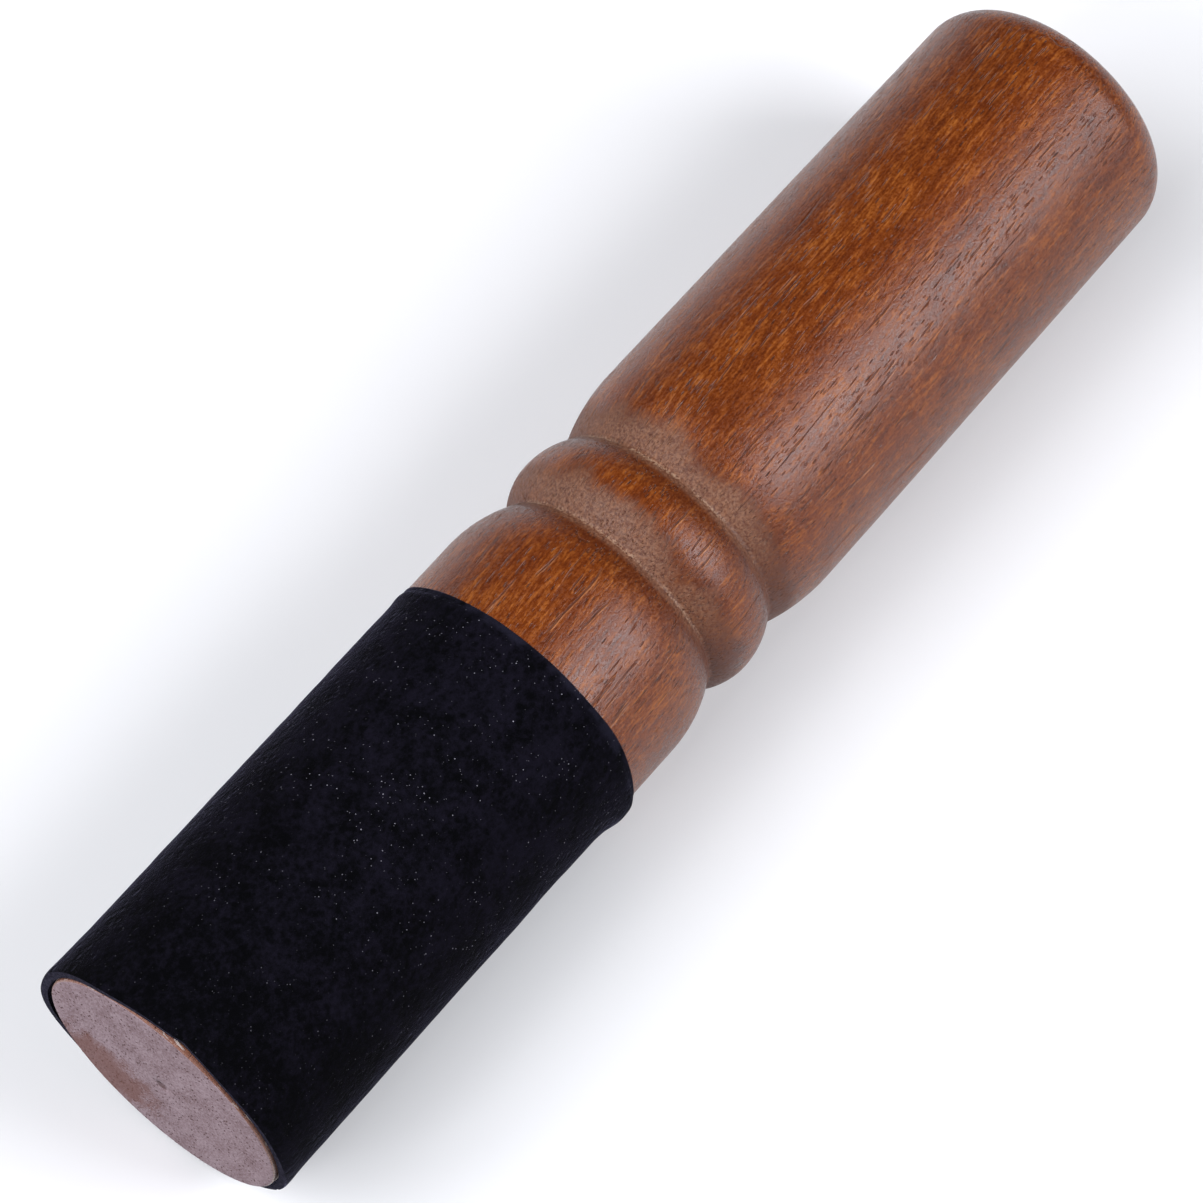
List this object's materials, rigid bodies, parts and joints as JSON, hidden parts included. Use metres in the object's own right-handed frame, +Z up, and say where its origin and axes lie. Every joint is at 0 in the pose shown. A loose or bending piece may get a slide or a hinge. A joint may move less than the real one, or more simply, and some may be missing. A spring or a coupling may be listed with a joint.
{
  "type": "singing bowl mallet",
  "caption": "Turned wooden hand mallet with a suede-wrapped striking end, a bead between two grooves, and a plain rounded grip.",
  "frame": {"origin": "on the surface the mallet lies on, under the middle of its length", "axes": "+X along the mallet from the flat suede-wrapped striking end towards the rounded grip end, +Z up with the mallet lying on its side"},
  "size_m": [0.1416, 0.03, 0.03],
  "materials": {
    "turned_wood": "red-brown straight-grained hardwood under satin lacquer, raw end grain at the striking end",
    "dried_glue": "dried contact glue, dull amber brown",
    "black_suede": "blue-black suede, short nap"
  },
  "bodies": {
    "root": {"handle": "turned_wood", "glue_film": "dried_glue", "suede_wrap": "black_suede"}
  },
  "joints": []
}
